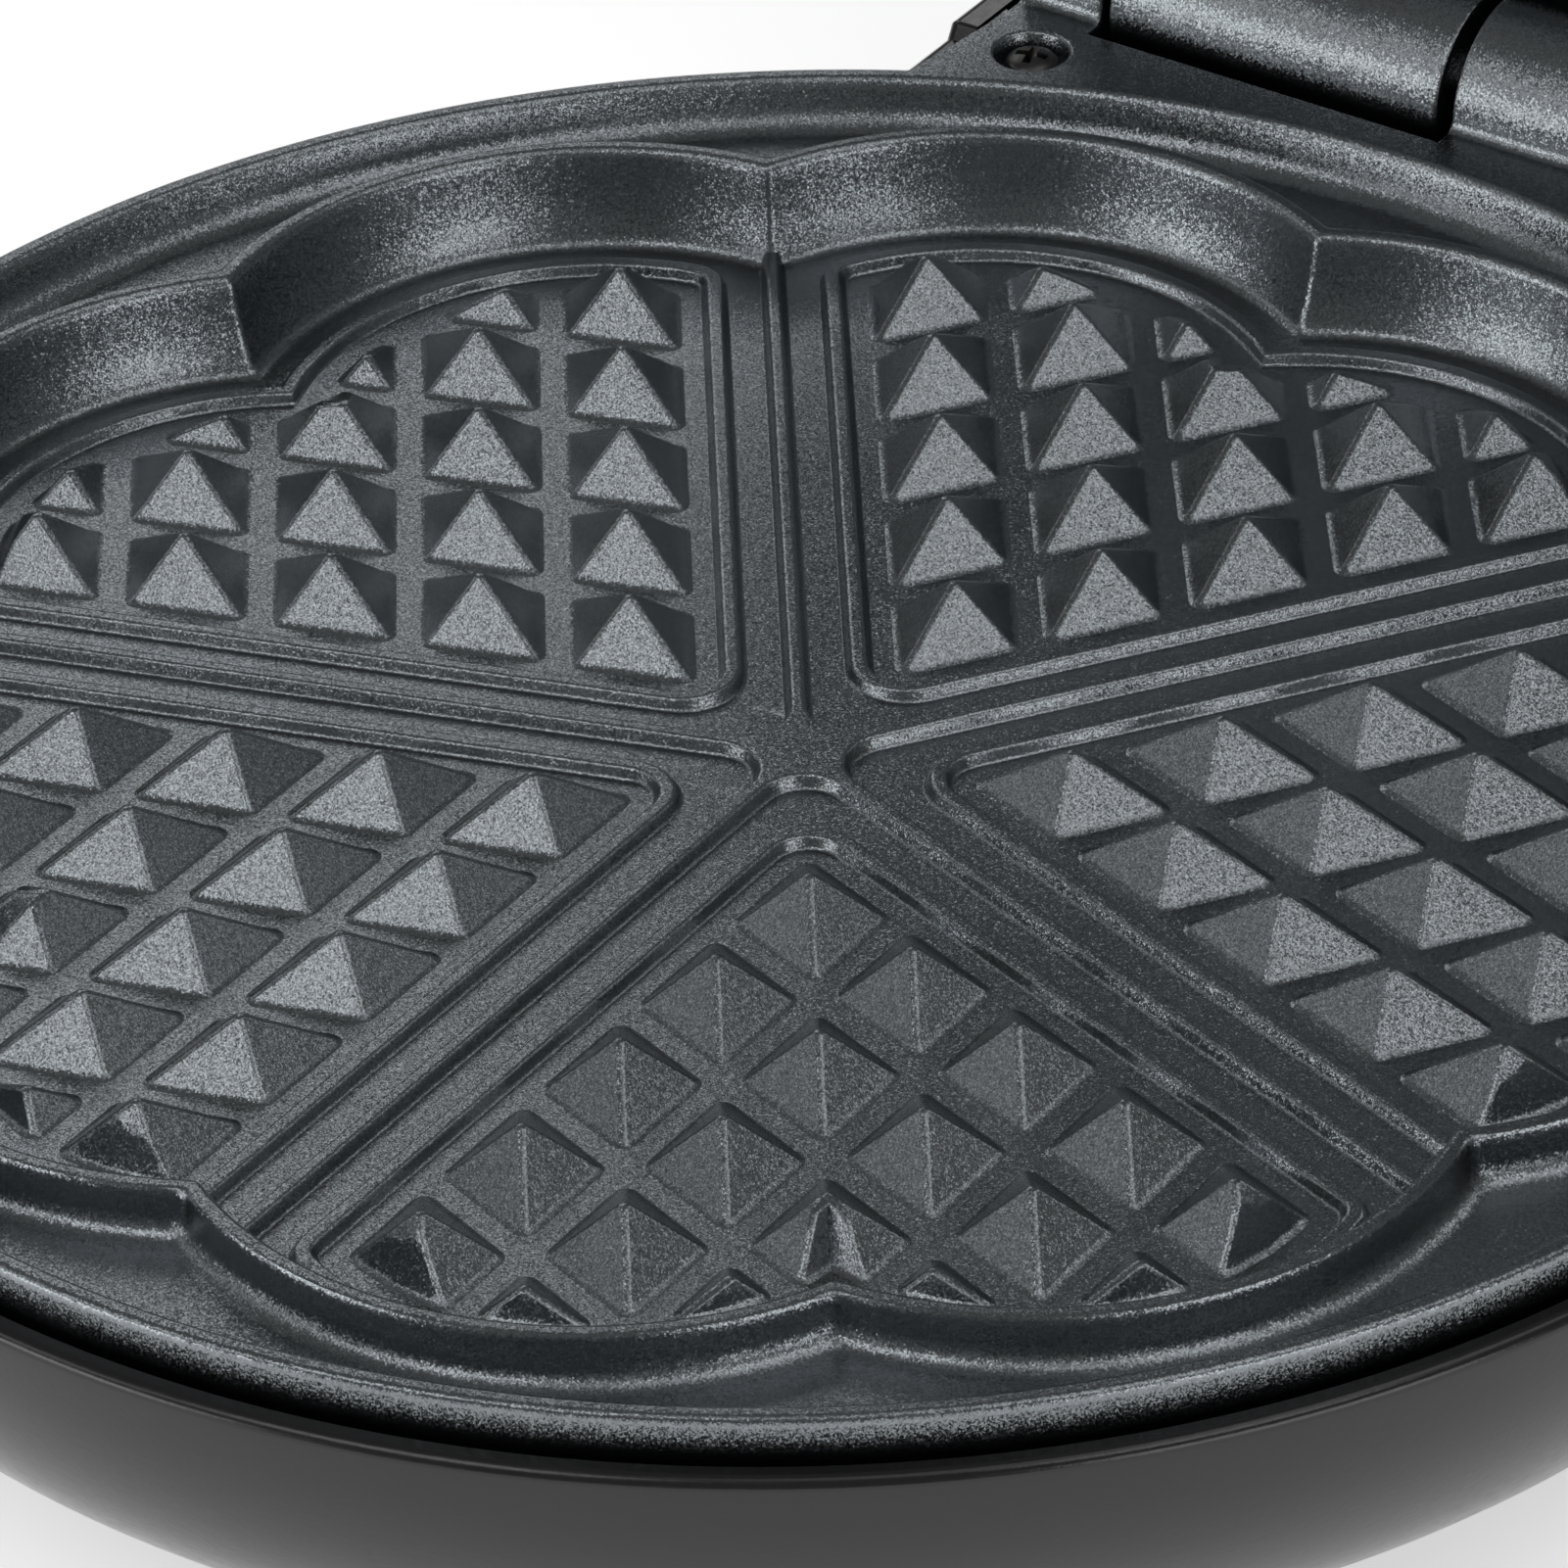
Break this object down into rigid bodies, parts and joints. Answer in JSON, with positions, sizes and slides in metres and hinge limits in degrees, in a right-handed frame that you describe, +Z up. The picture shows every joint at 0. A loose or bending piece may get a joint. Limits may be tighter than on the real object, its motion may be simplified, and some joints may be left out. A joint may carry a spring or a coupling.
{
  "type": "waffle maker",
  "caption": "Round electric waffle maker standing open: two hinged non-stick plates with heart-shaped beds of pyramid studs, dark bowl housings, lid handle and browning knob.",
  "frame": {"origin": "on the table, under the middle of the open appliance's bounding box", "axes": "+Z up; +Y from the front of the base towards the hinge; +X to the right seen from the front"},
  "size_m": [0.2, 0.3058, 0.292],
  "materials": {
    "non_stick_casting": "charcoal non-stick coating with fine metallic sparkle, satin",
    "housing_plastic": "dark grey moulded plastic, semi-matte",
    "handle_plastic": "black moulded plastic, fine texture",
    "black_steel": "black oxide",
    "bright_steel": "zinc plated",
    "element_steel": "heat-tinted sheath",
    "shield_steel": "bright rolled sheet",
    "rubber": "matt black",
    "ceramic": "unglazed ceramic",
    "lead_sleeve": "woven glass sleeve",
    "red_lens": "clear red",
    "green_lens": "clear green"
  },
  "bodies": {
    "base": {"lower_plate": "non_stick_casting", "lower_heating_element": "element_steel", "lower_heat_shield": "shield_steel", "lower_thermal_fuse": "ceramic", "lower_plate_screw_left": "black_steel", "lower_plate_screw_right": "black_steel", "lower_shield_screw_1": "bright_steel", "lower_shield_screw_2": "bright_steel", "lower_housing": "housing_plastic", "base_cover": "housing_plastic", "foot_front_left": "rubber", "foot_front_right": "rubber", "foot_rear_left": "rubber", "foot_rear_right": "rubber", "base_screw_1": "bright_steel", "base_screw_2": "bright_steel", "base_screw_3": "bright_steel", "cord_gland": "rubber", "terminal_block": "ceramic", "lower_lead_live": "lead_sleeve", "lower_lead_neutral": "lead_sleeve", "hinge_pin": "bright_steel", "hinge_pin_ring": "black_steel"},
    "lid": {"upper_plate": "non_stick_casting", "upper_heating_element": "element_steel", "upper_heat_shield": "shield_steel", "upper_thermal_fuse": "ceramic", "upper_plate_screw_left": "black_steel", "upper_plate_screw_right": "black_steel", "upper_shield_screw_1": "bright_steel", "upper_shield_screw_2": "bright_steel", "upper_housing": "housing_plastic", "handle_top": "handle_plastic", "handle_bottom": "handle_plastic", "handle_screw_1": "bright_steel", "handle_screw_2": "bright_steel", "control_thermostat": "ceramic", "lamp_holder": "ceramic", "power_lens": "red_lens", "ready_lens": "green_lens"},
    "knob": {"browning_knob": "handle_plastic"}
  },
  "joints": [
    {"name": "lid_hinge", "type": "hinge", "parent": "base", "child": "lid", "pos_m": [0, 0.05707, 0.04], "axis": [1, 0, 0], "range_deg": [0, 105]},
    {"name": "browning_control", "type": "hinge", "parent": "lid", "child": "knob", "pos_m": [0, 0.13841, 0.18902], "axis": [0, 0.9659, -0.2588], "range_deg": [0, 270]}
  ]
}
